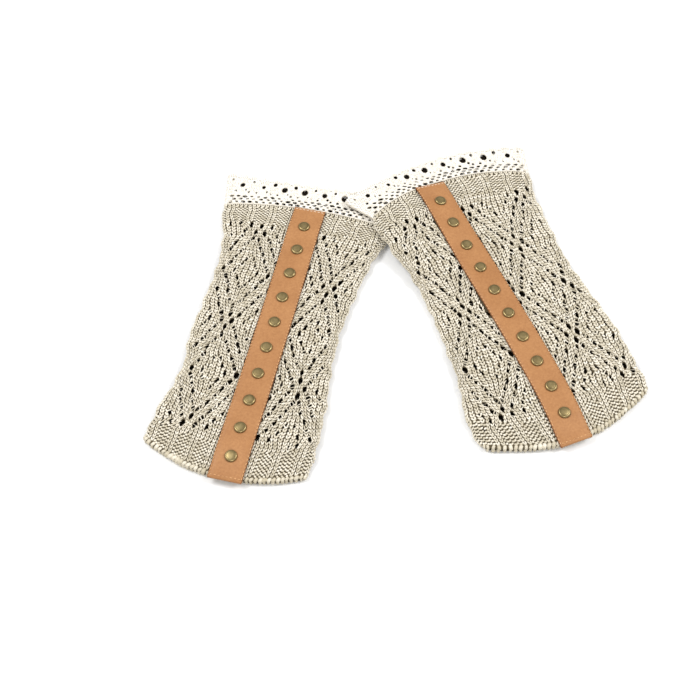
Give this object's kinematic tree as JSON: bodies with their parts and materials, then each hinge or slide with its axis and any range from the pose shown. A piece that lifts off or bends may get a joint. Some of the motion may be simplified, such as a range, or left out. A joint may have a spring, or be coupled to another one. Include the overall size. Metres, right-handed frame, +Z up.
{
  "type": "pair of crochet boot cuffs",
  "caption": "Pair of knitted boot cuffs lying flat, with eyelet lattice, ribbed ends, scalloped lace trim and a studded leather strip down each front.",
  "frame": {"origin": "on the surface the pair lies on, below the middle of the pair's box", "axes": "+Z up from the surface, +Y away from the viewer towards the lace ends, +X to the right; the left cuff leans 13 degrees clockwise and the right cuff 22 degrees anticlockwise from +Y"},
  "size_m": [0.3086, 0.2662, 0.013],
  "materials": {
    "knit": "matt oatmeal marl yarn, knitted",
    "lace": "matt cream cotton crochet lace",
    "leather": "smooth tan leather, satin, stitched edges",
    "studs": "antique brass, satin with brighter rims"
  },
  "bodies": {
    "root": {"left_knit_front": "knit", "left_knit_back": "knit", "left_lace_front": "lace", "left_lace_back": "lace", "left_strip": "leather", "left_stud_01": "studs", "left_stud_02": "studs", "left_stud_03": "studs", "left_stud_04": "studs", "left_stud_05": "studs", "left_stud_06": "studs", "left_stud_07": "studs", "left_stud_08": "studs", "left_stud_09": "studs", "left_stud_10": "studs", "right_knit_front": "knit", "right_knit_back": "knit", "right_lace_front": "lace", "right_lace_back": "lace", "right_strip": "leather", "right_stud_01": "studs", "right_stud_02": "studs", "right_stud_03": "studs", "right_stud_04": "studs", "right_stud_05": "studs", "right_stud_06": "studs", "right_stud_07": "studs", "right_stud_08": "studs", "right_stud_09": "studs", "right_stud_10": "studs"}
  },
  "joints": []
}
